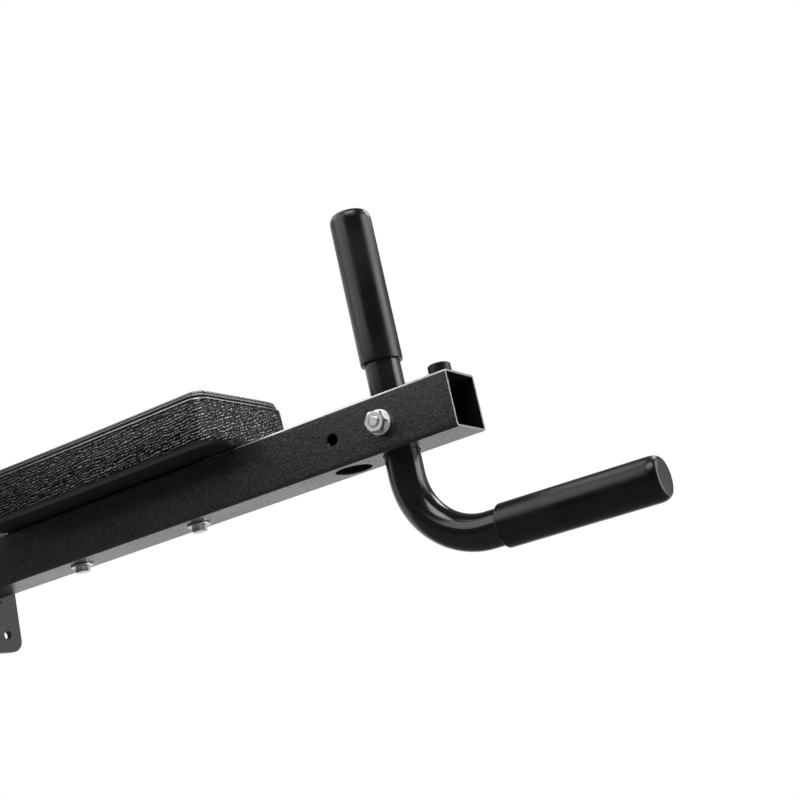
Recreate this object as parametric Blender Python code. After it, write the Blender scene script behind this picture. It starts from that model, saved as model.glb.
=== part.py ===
"""One forearm arm of a wall-mounted dip and knee-raise station.

A square steel tube stands out from a wall plate and carries a padded forearm rest.
Near the tube's open end a bent handle passes down through it: one grip stands up,
the other runs forward under the arm. A bolt across the tube locks the handle in the
front pair of holes, or in the rear pair one step closer to the pad.

Units are metres. +X runs out from the wall along the arm, +Y across it and +Z up.
The origin is the middle of the wall plate's back face.
"""
from math import cos, pi, radians, sin, sqrt, tan

import bmesh
import bpy
from mathutils import Vector

# Clearance between pieces that touch or seat on each other
SEAT_GAP = 0.0003

# Square arm tube
ARM_REACH = 0.600
TUBE_SIZE = 0.050
TUBE_WALL = 0.002
TUBE_CORNER = 0.003

# Wall plate and the weld that joins the tube to it
PLATE_HEIGHT = 0.160
PLATE_WIDTH = 0.100
PLATE_THICKNESS = 0.006
PLATE_CORNER = 0.012
PLATE_CHAMFER = 0.0008
PLATE_HOLE = 0.009
PLATE_HOLE_INSET = 0.018
WELD_LEG = 0.005
WELD_FULLNESS = 0.62

# Handle positions along the arm
HANDLE_SETBACK = 0.070
POSITION_STEP = 0.050

# Bent handle tube
HANDLE_DIAMETER = 0.0316
HANDLE_WALL = 0.002
HANDLE_PLAY = 0.0007
BEND_RADIUS = 0.065
LOWER_RUN_DROP = 0.1103
UPPER_NECK = 0.031
LOWER_NECK = 0.013

# Grips, both alike
GRIP_DIAMETER = 0.0374
GRIP_LENGTH = 0.141
GRIP_END = 0.004
GRIP_END_ROUND = 0.006
GRIP_RIM_ROUND = 0.0012

# Lock bolt, its nut and its washers
LOCK_DIAMETER = 0.010
LOCK_PLAY = 0.0005
LOCK_FLATS = 0.017
LOCK_HEAD = 0.0064
LOCK_NUT = 0.008
LOCK_TAIL = 0.002
LOCK_WASHER = 0.022
LOCK_WASHER_THICKNESS = 0.002
NUT_TURN = radians(-5)
NUT_LEAD = 0.0008

# Hex heads: the turned blank against the hexagon's corners, its flat face against the flats
HEAD_BLANK = 1.03
HEAD_FACE = 0.475
HEAD_ANGLE = radians(30)
THREAD_CHAMFER = 0.1

# Short peg on the arm's top, and the screw that holds it from inside
PEG_SETBACK = 0.017
PEG_DIAMETER = 0.020
PEG_HEIGHT = 0.0118
PEG_CHAMFER = 0.0012
PEG_BORE_DEPTH = 0.009
PEG_SCREW_DIAMETER = 0.006
PEG_SCREW_HEAD = 0.011
PEG_SCREW_HEAD_HEIGHT = 0.0033
PEG_SCREW_HEAD_SHAPE = ((0.0, 1.0), (0.7, 1.0), (0.95, 0.6), (1.0, 0.0))
PEG_SCREW_PLAY = 0.0004
PEG_SCREW_END_ROOM = 0.0008
PEG_WASHER = 0.012
PEG_WASHER_THICKNESS = 0.0012

# Forearm pad
PAD_SETBACK = 0.222
PAD_LENGTH = 0.300
PAD_WIDTH = 0.131
PAD_CORNER = 0.015
PAD_CORNER_LEAST = 0.002
PAD_HEIGHT = 0.0484
PAD_CROWN = 0.0075
PAD_CROWN_POWER = 3
PAD_BULGE = 0.0026
PAD_BULGE_POWER = 0.6
PAD_SIDE_BOWS = (-0.0011, 0.0004)
PAD_LOWER_ROUND = 0.003
COVER = 0.0012
HEM_WIDTH = 0.050
PIPING_DIAMETER = 0.004
CROWN_EDGE_LIFT = 1.1
CROWN_EDGE_DRAW = 0.6
BOARD_THICKNESS = 0.012
BOARD_MARGIN = 0.004

# Bolts that hold the pad from under the tube, their washers and their tee nuts
PAD_BOLT_INSET = 0.075
PAD_BOLT_DIAMETER = 0.008
PAD_BOLT_PLAY = 0.0005
PAD_BOLT_FLATS = 0.013
PAD_BOLT_HEAD = 0.0053
PAD_BOLT_END_ROOM = 0.0012
PAD_WASHER = 0.022
PAD_WASHER_THICKNESS = 0.0016
TEE_BARREL = 0.0105
TEE_BARREL_LENGTH = 0.0095
TEE_FLANGE = 0.020
TEE_FLANGE_THICKNESS = 0.0012

# Facets
ARC_STEPS = 6
HOLE_SIDES = 40
HANDLE_SIDES = 36
BEND_STEPS = 12
GRIP_SIDES = 40
FASTENER_SIDES = 30
PAD_ARC_STEPS = 4
PAD_SIDE_STEPS = (10, 5)
PAD_WALL_STEPS = 6
PAD_CROWN_SCALES = (0.93, 0.80, 0.60, 0.36, 0.13)
PIPING_SIDES = 8

# Places that follow from the sizes above
TUBE_HALF = TUBE_SIZE / 2
TUBE_START = PLATE_THICKNESS + SEAT_GAP
FRONT_HANDLE_X = ARM_REACH - HANDLE_SETBACK
REAR_HANDLE_X = FRONT_HANDLE_X - POSITION_STEP
PEG_X = ARM_REACH - PEG_SETBACK
PAD_X = ARM_REACH - PAD_SETBACK - PAD_LENGTH / 2
PAD_BOLT_OFFSET = PAD_LENGTH / 2 - PAD_BOLT_INSET
HANDLE_HOLE = HANDLE_DIAMETER + 2 * HANDLE_PLAY
LOCK_HOLE = LOCK_DIAMETER + 2 * LOCK_PLAY
PAD_BOLT_HOLE = PAD_BOLT_DIAMETER + 2 * PAD_BOLT_PLAY
PEG_SCREW_HOLE = PEG_SCREW_DIAMETER + 2 * PEG_SCREW_PLAY
UPPER_GRIP_Z = TUBE_HALF + UPPER_NECK
LOWER_GRIP_X = BEND_RADIUS + LOWER_NECK
GRIP_REACH = GRIP_LENGTH - GRIP_END - SEAT_GAP
BOARD_BOTTOM = 2 * SEAT_GAP + COVER
BOARD_TOP = BOARD_BOTTOM + BOARD_THICKNESS
PAD_BOLTS = (("rear", PAD_X - PAD_BOLT_OFFSET), ("front", PAD_X + PAD_BOLT_OFFSET))
# How far the middle of a quarter arc stands in from the corner it rounds, over its radius
ARC_MIDDLE = 1 - sqrt(0.5)


def clear_scene():
    for old in list(bpy.data.objects):
        bpy.data.objects.remove(old, do_unlink=True)


def finish_material(name, colour, roughness, metallic=0.0):
    made = bpy.data.materials.new(name)
    made.use_nodes = True
    shader = made.node_tree.nodes["Principled BSDF"]
    shader.inputs["Base Color"].default_value = (*colour, 1.0)
    shader.inputs["Roughness"].default_value = roughness
    shader.inputs["Metallic"].default_value = metallic
    return made


def make_object(name, mesh_data, material):
    """Turn a bmesh into a smooth-shaded object whose faces point out."""
    bmesh.ops.recalc_face_normals(mesh_data, faces=mesh_data.faces)
    mesh = bpy.data.meshes.new(name)
    mesh_data.to_mesh(mesh)
    mesh_data.free()
    mesh.materials.append(material)
    mesh.shade_smooth()
    mesh.set_sharp_from_angle(angle=radians(35))
    made = bpy.data.objects.new(name, mesh)
    bpy.context.collection.objects.link(made)
    return made


def place(piece, location, rotation=(0, 0, 0), parent=None):
    piece.location = location
    piece.rotation_euler = rotation
    piece.parent = parent
    return piece


def make_cutter(name, mesh_data):
    """A tool body: Boolean modifiers read it, and it is never shown or built."""
    bmesh.ops.recalc_face_normals(mesh_data, faces=mesh_data.faces)
    mesh = bpy.data.meshes.new(name)
    mesh_data.to_mesh(mesh)
    mesh_data.free()
    tool = bpy.data.objects.new(name, mesh)
    bpy.context.collection.objects.link(tool)
    tool.hide_render = True
    tool.display_type = "WIRE"
    return tool


def use_cutter(piece, tool, operation="DIFFERENCE"):
    step = piece.modifiers.new(tool.name, "BOOLEAN")
    step.object = tool
    step.operation = operation
    step.solver = "EXACT"


def bridge(mesh_data, first, second):
    """Join two rings of vertices, either of which may be a single point."""
    count = max(len(first), len(second))
    for i in range(count):
        j = (i + 1) % count
        corners = [first[i % len(first)], first[j % len(first)]]
        corners += [second[j % len(second)], second[i % len(second)]]
        mesh_data.faces.new(list(dict.fromkeys(corners)))


def loft(rings, closed=False):
    """A skin through rings of points; closed joins the last ring to the first."""
    mesh_data = bmesh.new()
    loops = [[mesh_data.verts.new(point) for point in ring] for ring in rings]
    for first, second in zip(loops, loops[1:]):
        bridge(mesh_data, first, second)
    if closed:
        bridge(mesh_data, loops[-1], loops[0])
        return mesh_data
    for end in (loops[0], loops[-1]):
        if len(end) > 2:
            mesh_data.faces.new(end)
    return mesh_data


def circle(radius, z, sides):
    if radius == 0:
        return [Vector((0, 0, z))]
    angles = [2 * pi * k / sides for k in range(sides)]
    return [Vector((radius * cos(a), radius * sin(a), z)) for a in angles]


def lathe(profile, sides, closed=False):
    """Turn (radius, z) points about Z."""
    return loft([circle(radius, z, sides) for radius, z in profile], closed)


def rounded_outline(width, height, radius, arc_steps, side_steps=(1, 1), bows=(0.0, 0.0)):
    """Points round a rounded rectangle; bows push the middles of its long sides and ends out."""
    half_w = width / 2 - radius
    half_h = height / 2 - radius
    corners = ((half_w, half_h), (-half_w, half_h), (-half_w, -half_h), (half_w, -half_h))
    arcs = []
    for quarter, corner in enumerate(corners):
        angles = [pi / 2 * (quarter + k / arc_steps) for k in range(arc_steps + 1)]
        arcs.append([Vector(corner) + radius * Vector((cos(a), sin(a))) for a in angles])
    points = []
    for quarter, arc in enumerate(arcs):
        points.extend(arc)
        start = arc[-1]
        end = arcs[(quarter + 1) % 4][0]
        steps = side_steps[quarter % 2]
        bow = bows[quarter % 2]
        outward = Vector((cos(pi / 2 * (quarter + 1)), sin(pi / 2 * (quarter + 1))))
        for k in range(1, steps):
            s = k / steps
            points.append(start.lerp(end, s) + outward * bow * 4 * s * (1 - s))
    return points


def ring_across_arm(outline, x):
    return [Vector((x, u, v)) for u, v in outline]


def rods(cuts):
    """Separate cylinders in one mesh, each given as (start, end, diameter)."""
    mesh_data = bmesh.new()
    for start, end, diameter in cuts:
        start, end = Vector(start), Vector(end)
        along = (end - start).normalized()
        side = Vector((1, 0, 0)) if abs(along.x) < 0.5 else Vector((0, 1, 0))
        other = along.cross(side)
        loops = []
        for centre in (start, end):
            angles = [2 * pi * k / HOLE_SIDES for k in range(HOLE_SIDES)]
            ring = [centre + diameter / 2 * (cos(a) * side + sin(a) * other) for a in angles]
            loops.append([mesh_data.verts.new(point) for point in ring])
        bridge(mesh_data, *loops)
        for loop in loops:
            mesh_data.faces.new(loop)
    return mesh_data


def hex_prism(flats, low, high, turn=0.0):
    corner = flats / sqrt(3)
    angles = [turn + pi / 3 * k for k in range(6)]
    return loft([[Vector((corner * cos(a), corner * sin(a), z)) for a in angles] for z in (low, high)])


def head_profile(flats, low, high):
    """Turned blank of a hex head or nut: its top corners are chamfered at 30 degrees."""
    blank = HEAD_BLANK * flats / sqrt(3)
    face = HEAD_FACE * flats
    drop = (blank - face) * tan(HEAD_ANGLE)
    return [(blank, low), (blank, high - drop), (face, high)]


def make_hex_bolt(name, diameter, flats, head, seat, tip, material, turn=0.0):
    """A bolt along Z: its head sits above seat and its thread ends below, at tip."""
    radius = diameter / 2
    chamfer = THREAD_CHAMFER * diameter
    profile = [(0, tip), (radius - chamfer, tip), (radius, tip + chamfer), (radius, seat)]
    profile += head_profile(flats, seat, seat + head) + [(0, seat + head)]
    made = make_object(name, lathe(profile, FASTENER_SIDES), material)
    room = 2 * head
    prism = make_cutter(name + "_hex", hex_prism(flats, tip - room, seat + head + room, turn))
    use_cutter(made, prism, "INTERSECT")
    return made


def washer_mesh(diameter, bore, thickness):
    profile = [(bore / 2, 0), (diameter / 2, 0), (diameter / 2, thickness), (bore / 2, thickness)]
    return lathe(profile, FASTENER_SIDES, closed=True)


def make_arm_tube(material):
    outer = rounded_outline(TUBE_SIZE, TUBE_SIZE, TUBE_CORNER, ARC_STEPS)
    bore = TUBE_SIZE - 2 * TUBE_WALL
    inner = rounded_outline(bore, bore, max(TUBE_CORNER - TUBE_WALL, TUBE_WALL / 4), ARC_STEPS)
    rings = [ring_across_arm(outer, TUBE_START), ring_across_arm(outer, ARM_REACH)]
    rings += [ring_across_arm(inner, ARM_REACH), ring_across_arm(inner, TUBE_START)]
    tube = make_object("arm_tube", loft(rings, closed=True), material)
    reach = TUBE_SIZE
    handles = (FRONT_HANDLE_X, REAR_HANDLE_X)
    upright = [((x, 0, -reach), (x, 0, reach), HANDLE_HOLE) for x in handles]
    upright += [((x, 0, -reach), (x, 0, reach), PAD_BOLT_HOLE) for _, x in PAD_BOLTS]
    upright.append(((PEG_X, 0, 0), (PEG_X, 0, reach), PEG_SCREW_HOLE))
    use_cutter(tube, make_cutter("upright_holes", rods(upright)))
    across = [((x, -reach, 0), (x, reach, 0), LOCK_HOLE) for x in handles]
    use_cutter(tube, make_cutter("lock_holes", rods(across)))


def make_wall_plate(material):
    rings = []
    for inset, x in ((0, 0), (0, PLATE_THICKNESS - PLATE_CHAMFER), (PLATE_CHAMFER, PLATE_THICKNESS)):
        width = PLATE_WIDTH - 2 * inset
        height = PLATE_HEIGHT - 2 * inset
        outline = rounded_outline(width, height, PLATE_CORNER - inset, ARC_STEPS)
        rings.append(ring_across_arm(outline, x))
    plate = make_object("wall_plate", loft(rings), material)
    y = PLATE_WIDTH / 2 - PLATE_HOLE_INSET
    z = PLATE_HEIGHT / 2 - PLATE_HOLE_INSET
    reach = 2 * PLATE_THICKNESS
    corners = [(y, z), (y, -z), (-y, z), (-y, -z)]
    holes = [((-reach, *corner), (reach, *corner), PLATE_HOLE) for corner in corners]
    use_cutter(plate, make_cutter("plate_holes", rods(holes)))


def make_weld_bead(material):
    """A slightly full fillet all round the tube, where it meets the plate."""
    low = PLATE_THICKNESS + SEAT_GAP
    full = WELD_FULLNESS * WELD_LEG
    section = [(0, low), (WELD_LEG, low), (full, low + full), (0, low + WELD_LEG)]
    rings = []
    for rise, x in section:
        grow = SEAT_GAP + rise
        size = TUBE_SIZE + 2 * grow
        rings.append(ring_across_arm(rounded_outline(size, size, TUBE_CORNER + grow, ARC_STEPS), x))
    make_object("weld_bead", loft(rings, closed=True), material)


def handle_route():
    """Centre line of the bent tube, from its top end, each point with its direction."""
    top = UPPER_GRIP_Z + GRIP_REACH
    route = [(Vector((0, 0, top)), Vector((0, 0, -1)))]
    bend_centre = Vector((BEND_RADIUS, 0, BEND_RADIUS - LOWER_RUN_DROP))
    for k in range(BEND_STEPS + 1):
        turn = pi / 2 * k / BEND_STEPS
        point = bend_centre - BEND_RADIUS * Vector((cos(turn), 0, sin(turn)))
        route.append((point, Vector((sin(turn), 0, -cos(turn)))))
    route.append((Vector((LOWER_GRIP_X + GRIP_REACH, 0, -LOWER_RUN_DROP)), Vector((1, 0, 0))))
    return route


def make_handle_tube(material):
    def ring(point, along, radius):
        across = Vector((-along.z, 0, along.x))
        angles = [2 * pi * k / HANDLE_SIDES for k in range(HANDLE_SIDES)]
        return [point + radius * (cos(a) * across + sin(a) * Vector((0, 1, 0))) for a in angles]

    route = handle_route()
    outer = [ring(point, along, HANDLE_DIAMETER / 2) for point, along in route]
    inner = [ring(point, along, HANDLE_DIAMETER / 2 - HANDLE_WALL) for point, along in reversed(route)]
    tube = make_object("handle_tube", loft(outer + inner, closed=True), material)
    reach = HANDLE_DIAMETER
    drill = make_cutter("handle_drill", rods([((0, -reach, 0), (0, reach, 0), LOCK_HOLE)]))
    use_cutter(tube, place(drill, (FRONT_HANDLE_X, 0, 0)))
    place(tube, (FRONT_HANDLE_X, 0, 0))


def grip_mesh():
    """A sleeve closed at its far end, open at z = 0."""
    outer = GRIP_DIAMETER / 2
    bore = HANDLE_DIAMETER / 2 + SEAT_GAP
    rim = ARC_MIDDLE * GRIP_RIM_ROUND
    profile = [(0, GRIP_LENGTH - GRIP_END), (bore, GRIP_LENGTH - GRIP_END), (bore, 0)]
    profile += [(outer - GRIP_RIM_ROUND, 0), (outer - rim, rim), (outer, GRIP_RIM_ROUND)]
    for k in range(ARC_STEPS + 1):
        turn = pi / 2 * k / ARC_STEPS
        radius = outer - GRIP_END_ROUND * (1 - cos(turn))
        profile.append((radius, GRIP_LENGTH - GRIP_END_ROUND * (1 - sin(turn))))
    profile.append((0, GRIP_LENGTH))
    return lathe(profile, GRIP_SIDES)


def make_grips(material):
    upper = make_object("upper_grip", grip_mesh(), material)
    place(upper, (FRONT_HANDLE_X, 0, UPPER_GRIP_Z))
    lower = make_object("lower_grip", grip_mesh(), material)
    place(lower, (FRONT_HANDLE_X + LOWER_GRIP_X, 0, -LOWER_RUN_DROP), (0, radians(90), 0))


def make_lock_bolt(material):
    """The bolt points along -Y; its head and head washer are on the far side of the tube."""
    washer_low = TUBE_HALF + SEAT_GAP
    seat = washer_low + LOCK_WASHER_THICKNESS + SEAT_GAP
    tip = -(seat + LOCK_NUT + LOCK_TAIL)
    bolt = make_hex_bolt("lock_bolt", LOCK_DIAMETER, LOCK_FLATS, LOCK_HEAD, seat, tip, material)
    axis_at = (FRONT_HANDLE_X, 0, 0)
    place(bolt, axis_at, (radians(-90), 0, 0))
    place(bpy.data.objects["lock_bolt_hex"], axis_at, (radians(-90), 0, 0))
    disc = washer_mesh(LOCK_WASHER, LOCK_HOLE, LOCK_WASHER_THICKNESS)
    washer = make_object("bolt_washer", disc, material)
    place(washer, (0, 0, washer_low), parent=bolt)


def make_lock_nut(material):
    """The nut and its washer, on the near side of the tube, with the bolt's end standing through."""
    washer_low = TUBE_HALF + SEAT_GAP
    seat = washer_low + LOCK_WASHER_THICKNESS + SEAT_GAP
    bore = LOCK_DIAMETER / 2 + SEAT_GAP
    top = head_profile(LOCK_FLATS, LOCK_NUT / 2, LOCK_NUT)[1:]
    bottom = [(radius, LOCK_NUT - z) for radius, z in reversed(top)]
    profile = [(bore, NUT_LEAD), (bore + NUT_LEAD, 0)] + bottom + top
    profile += [(bore + NUT_LEAD, LOCK_NUT), (bore, LOCK_NUT - NUT_LEAD)]
    nut = make_object("lock_nut", lathe(profile, FASTENER_SIDES, closed=True), material)
    turned = (radians(90), 0, 0)
    place(nut, (FRONT_HANDLE_X, -seat, 0), turned)
    prism = make_cutter("lock_nut_hex", hex_prism(LOCK_FLATS, -LOCK_NUT, 2 * LOCK_NUT, NUT_TURN))
    use_cutter(nut, place(prism, nut.location, turned), "INTERSECT")
    disc = washer_mesh(LOCK_WASHER, LOCK_HOLE, LOCK_WASHER_THICKNESS)
    washer = make_object("nut_washer", disc, material)
    place(washer, (0, 0, washer_low - seat), parent=nut)


def make_peg(rubber, steel):
    """The peg stands on the tube; its washer and screw head hang under the tube's top wall."""
    radius = PEG_DIAMETER / 2
    bore = PEG_SCREW_DIAMETER / 2 + SEAT_GAP
    profile = [(0, PEG_BORE_DEPTH), (bore, PEG_BORE_DEPTH), (bore, 0), (radius - PEG_CHAMFER / 3, 0)]
    profile += [(radius, PEG_CHAMFER / 3), (radius, PEG_HEIGHT - PEG_CHAMFER)]
    profile += [(radius - PEG_CHAMFER, PEG_HEIGHT), (0, PEG_HEIGHT)]
    peg = make_object("stop_peg", lathe(profile, FASTENER_SIDES), rubber)
    place(peg, (PEG_X, 0, TUBE_HALF + SEAT_GAP))

    washer_low = TUBE_HALF - TUBE_WALL - SEAT_GAP - PEG_WASHER_THICKNESS
    disc = washer_mesh(PEG_WASHER, PEG_SCREW_HOLE, PEG_WASHER_THICKNESS)
    washer = make_object("peg_washer", disc, steel)
    place(washer, (PEG_X, 0, washer_low))

    head_top = washer_low - SEAT_GAP
    end = TUBE_HALF + SEAT_GAP + PEG_BORE_DEPTH - PEG_SCREW_END_ROOM - head_top
    head = PEG_SCREW_HEAD / 2
    profile = [(head * across, -PEG_SCREW_HEAD_HEIGHT * down) for across, down in PEG_SCREW_HEAD_SHAPE]
    profile += [(PEG_SCREW_DIAMETER / 2, 0), (PEG_SCREW_DIAMETER / 2, end), (0, end)]
    screw = make_object("peg_screw", lathe(profile, FASTENER_SIDES), steel)
    place(screw, (PEG_X, 0, head_top))


def pad_ring(outward, z):
    """The pad's plan outline, moved outward and lifted to z."""
    outline = rounded_outline(
        PAD_LENGTH + 2 * outward,
        PAD_WIDTH + 2 * outward,
        max(PAD_CORNER + outward, PAD_CORNER_LEAST),
        PAD_ARC_STEPS,
        PAD_SIDE_STEPS,
        PAD_SIDE_BOWS,
    )
    return [Vector((u, v, z)) for u, v in outline]


def make_cushion(material):
    """Crowned foam and cover: a hem turns in under the board, which sits in the pocket above it."""
    pocket = -BOARD_MARGIN
    hem_top = SEAT_GAP + COVER
    rings = [pad_ring(pocket, BOARD_TOP + SEAT_GAP), pad_ring(pocket, hem_top)]
    rings += [pad_ring(-HEM_WIDTH, hem_top), pad_ring(-HEM_WIDTH, SEAT_GAP)]
    rings.append(pad_ring(-PAD_LOWER_ROUND, SEAT_GAP))
    edge_middle = ARC_MIDDLE * PAD_LOWER_ROUND
    rings.append(pad_ring(-edge_middle, SEAT_GAP + edge_middle))

    piping = PIPING_DIAMETER / 2
    shoulder = PAD_HEIGHT - piping - SEAT_GAP
    for k in range(PAD_WALL_STEPS + 1):
        s = k / PAD_WALL_STEPS
        low = SEAT_GAP + PAD_LOWER_ROUND
        z = low + (shoulder - piping / 4 - low) * s
        rings.append(pad_ring(PAD_BULGE * sin(pi * s ** PAD_BULGE_POWER), z))

    groove = -(PIPING_DIAMETER + 2 * SEAT_GAP)
    rings.append(pad_ring(-piping / 3, shoulder))
    rings.append(pad_ring(groove + piping / 2, shoulder))
    rings.append(pad_ring(groove, shoulder + piping / 2))
    rings.append(pad_ring(groove, PAD_HEIGHT + piping / 2))
    edge_z = PAD_HEIGHT + CROWN_EDGE_LIFT * piping
    edge = pad_ring(groove - CROWN_EDGE_DRAW * piping, edge_z)
    rings.append(edge)
    for scale in PAD_CROWN_SCALES:
        z = edge_z + PAD_CROWN * (1 - scale ** PAD_CROWN_POWER)
        rings.append([Vector((scale * point.x, scale * point.y, z)) for point in edge])
    place(make_object("pad_cushion", loft(rings), material), (PAD_X, 0, TUBE_HALF))


def make_piping(material):
    """A round cord that lies in the groove under the pad's top edge."""
    radius = PIPING_DIAMETER / 2
    rings = []
    for k in range(PIPING_SIDES):
        turn = 2 * pi * (k + 0.5) / PIPING_SIDES
        rings.append(pad_ring(radius * cos(turn) - radius - SEAT_GAP / 2, PAD_HEIGHT + radius * sin(turn)))
    cord = make_object("pad_piping", loft(rings, closed=True), material)
    place(cord, (PAD_X, 0, TUBE_HALF))


def make_board(material):
    """Plywood, bored and counterbored for the tee nuts."""
    inset = BOARD_MARGIN + SEAT_GAP
    slab = loft([pad_ring(-inset, BOARD_BOTTOM), pad_ring(-inset, BOARD_TOP)])
    board = place(make_object("pad_board", slab, material), (PAD_X, 0, TUBE_HALF))
    bore = TEE_BARREL / 2 + SEAT_GAP
    sink = TEE_FLANGE / 2 + SEAT_GAP
    sink_floor = BOARD_TOP - TEE_FLANGE_THICKNESS - SEAT_GAP
    profile = [(0, -BOARD_THICKNESS), (bore, -BOARD_THICKNESS), (bore, sink_floor), (sink, sink_floor)]
    profile += [(sink, BOARD_TOP + BOARD_THICKNESS), (0, BOARD_TOP + BOARD_THICKNESS)]
    for end, x in PAD_BOLTS:
        tool = make_cutter(f"tee_bore_{end}", lathe(profile, FASTENER_SIDES))
        use_cutter(board, place(tool, (x, 0, TUBE_HALF)))


def make_pad_fasteners(material):
    """A bolt, washer and tee nut near each end of the pad."""
    washer_low = TUBE_HALF + SEAT_GAP
    seat = washer_low + PAD_WASHER_THICKNESS + SEAT_GAP
    tip = -(TUBE_HALF + BOARD_TOP - PAD_BOLT_END_ROOM)
    bore = PAD_BOLT_DIAMETER / 2 + SEAT_GAP
    flange_low = BOARD_TOP - TEE_FLANGE_THICKNESS
    tee = [(bore, BOARD_TOP - TEE_BARREL_LENGTH), (TEE_BARREL / 2, BOARD_TOP - TEE_BARREL_LENGTH)]
    tee += [(TEE_BARREL / 2, flange_low), (TEE_FLANGE / 2, flange_low)]
    tee += [(TEE_FLANGE / 2, BOARD_TOP), (bore, BOARD_TOP)]
    head_down = (radians(180), 0, 0)
    for end, x in PAD_BOLTS:
        name = f"pad_bolt_{end}"
        sizes = (PAD_BOLT_DIAMETER, PAD_BOLT_FLATS, PAD_BOLT_HEAD)
        bolt = make_hex_bolt(name, *sizes, seat, tip, material)
        place(bolt, (x, 0, 0), head_down)
        place(bpy.data.objects[name + "_hex"], (x, 0, 0), head_down)
        disc = washer_mesh(PAD_WASHER, PAD_BOLT_HOLE, PAD_WASHER_THICKNESS)
        washer = make_object(f"pad_washer_{end}", disc, material)
        place(washer, (0, 0, washer_low), parent=bolt)
        nut = make_object(f"tee_nut_{end}", lathe(tee, FASTENER_SIDES, closed=True), material)
        place(nut, (x, 0, TUBE_HALF))


def build():
    clear_scene()
    powder_coat = finish_material("black_powder_coat", (0.030, 0.030, 0.032), 0.55)
    satin_black = finish_material("satin_black_tube", (0.018, 0.018, 0.019), 0.38)
    grip_rubber = finish_material("grip_rubber", (0.016, 0.016, 0.017), 0.50)
    peg_rubber = finish_material("peg_rubber", (0.020, 0.020, 0.021), 0.62)
    zinc = finish_material("zinc_plate", (0.62, 0.63, 0.64), 0.35, 1.0)
    leatherette = finish_material("leatherette", (0.028, 0.028, 0.030), 0.48)
    plywood = finish_material("plywood", (0.52, 0.38, 0.23), 0.70)
    make_arm_tube(powder_coat)
    make_wall_plate(powder_coat)
    make_weld_bead(powder_coat)
    make_handle_tube(satin_black)
    make_grips(grip_rubber)
    make_lock_bolt(zinc)
    make_lock_nut(zinc)
    make_peg(peg_rubber, zinc)
    make_cushion(leatherette)
    make_piping(leatherette)
    make_board(plywood)
    make_pad_fasteners(zinc)
    bpy.context.view_layer.update()


build()
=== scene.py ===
# %% [markdown]
# # The forearm arm of a dip station
#
# The real object is one arm of a wall-mounted dip and knee-raise station. A square steel tube carries a
# padded forearm rest, and near its open end a bent handle drops down through it. A bolt across the tube
# locks the handle in the front holes or in the rear ones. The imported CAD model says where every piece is.
# This lesson gives each piece its shape and finish.

# %% Load the CAD frame
from math import atan2, ceil, cos, pi, radians, sin, sqrt, tan

import bmesh
import bpy
import numpy as np
from mathutils import Matrix, Vector
from mathutils.kdtree import KDTree


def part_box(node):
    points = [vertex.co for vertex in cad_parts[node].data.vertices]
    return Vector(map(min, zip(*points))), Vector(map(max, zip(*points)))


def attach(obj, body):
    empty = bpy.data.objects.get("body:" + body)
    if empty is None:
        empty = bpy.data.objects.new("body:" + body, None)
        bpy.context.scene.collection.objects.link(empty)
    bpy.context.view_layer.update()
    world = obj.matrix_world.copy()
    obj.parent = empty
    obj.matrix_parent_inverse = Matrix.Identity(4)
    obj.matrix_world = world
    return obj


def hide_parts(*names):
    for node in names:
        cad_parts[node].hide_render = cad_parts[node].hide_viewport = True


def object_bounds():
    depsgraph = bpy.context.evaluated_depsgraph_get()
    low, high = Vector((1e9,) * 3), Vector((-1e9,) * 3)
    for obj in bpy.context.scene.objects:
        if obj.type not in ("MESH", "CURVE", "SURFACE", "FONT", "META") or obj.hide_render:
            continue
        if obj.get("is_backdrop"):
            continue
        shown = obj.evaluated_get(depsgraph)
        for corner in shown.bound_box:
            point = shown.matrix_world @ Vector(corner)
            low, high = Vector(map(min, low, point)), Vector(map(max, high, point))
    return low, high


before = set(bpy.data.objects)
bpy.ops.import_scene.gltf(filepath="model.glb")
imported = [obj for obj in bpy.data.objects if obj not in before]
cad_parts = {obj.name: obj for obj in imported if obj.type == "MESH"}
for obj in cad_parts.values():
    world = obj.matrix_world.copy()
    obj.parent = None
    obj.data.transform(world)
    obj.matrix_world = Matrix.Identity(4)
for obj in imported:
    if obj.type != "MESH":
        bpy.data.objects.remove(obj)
cad_low, cad_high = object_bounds()
print("CAD box in mm:", [round(1000 * (high - low), 1) for low, high in zip(cad_low, cad_high)])

# %% [markdown]
# ## Camera
#
# The picture is taken from below and in front of the arm's open end, with the camera rolled a little. Its
# place, turn and focal length come from matching the arm's straight edges and the sizes of its stock parts.

# %% Camera
camera_data = bpy.data.cameras.new("photo_camera")
camera_data.sensor_width = 36
camera_data.lens = 61.01
camera_data.clip_start = 0.05
camera = bpy.data.objects.new("photo_camera", camera_data)
camera.location = (1.0778, -0.9868, -0.2685)
camera.rotation_euler = (radians(104.723), radians(12.270), radians(31.812))
bpy.context.scene.collection.objects.link(camera)
bpy.context.scene.camera = camera
bpy.context.scene.view_settings.view_transform = "Standard"
print("camera:", camera_data.lens, "mm lens")

# %% [markdown]
# ## Small tools for nodes
#
# Every finish here is made of shader nodes, and a few helpers keep the cells short. A node group has named
# inputs and outputs, so one effect serves several materials.

# %% Helpers for nodes
def feed(tree, made, feeds):
    """Set a node's inputs, by name or number, each to a value or to another node's output."""
    for name, value in feeds.items():
        if isinstance(value, bpy.types.NodeSocket):
            tree.links.new(value, made.inputs[name])
        else:
            made.inputs[name].default_value = value
    return made


def add_node(tree, kind, feeds=None, **settings):
    """Add a node with these settings and inputs."""
    made = tree.nodes.new("ShaderNode" + kind)
    for name, value in settings.items():
        setattr(made, name, value)
    return feed(tree, made, feeds or {})


def calculate(tree, operation, *values):
    """The result of a Math node."""
    return add_node(tree, "Math", dict(enumerate(values)), operation=operation).outputs[0]


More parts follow.
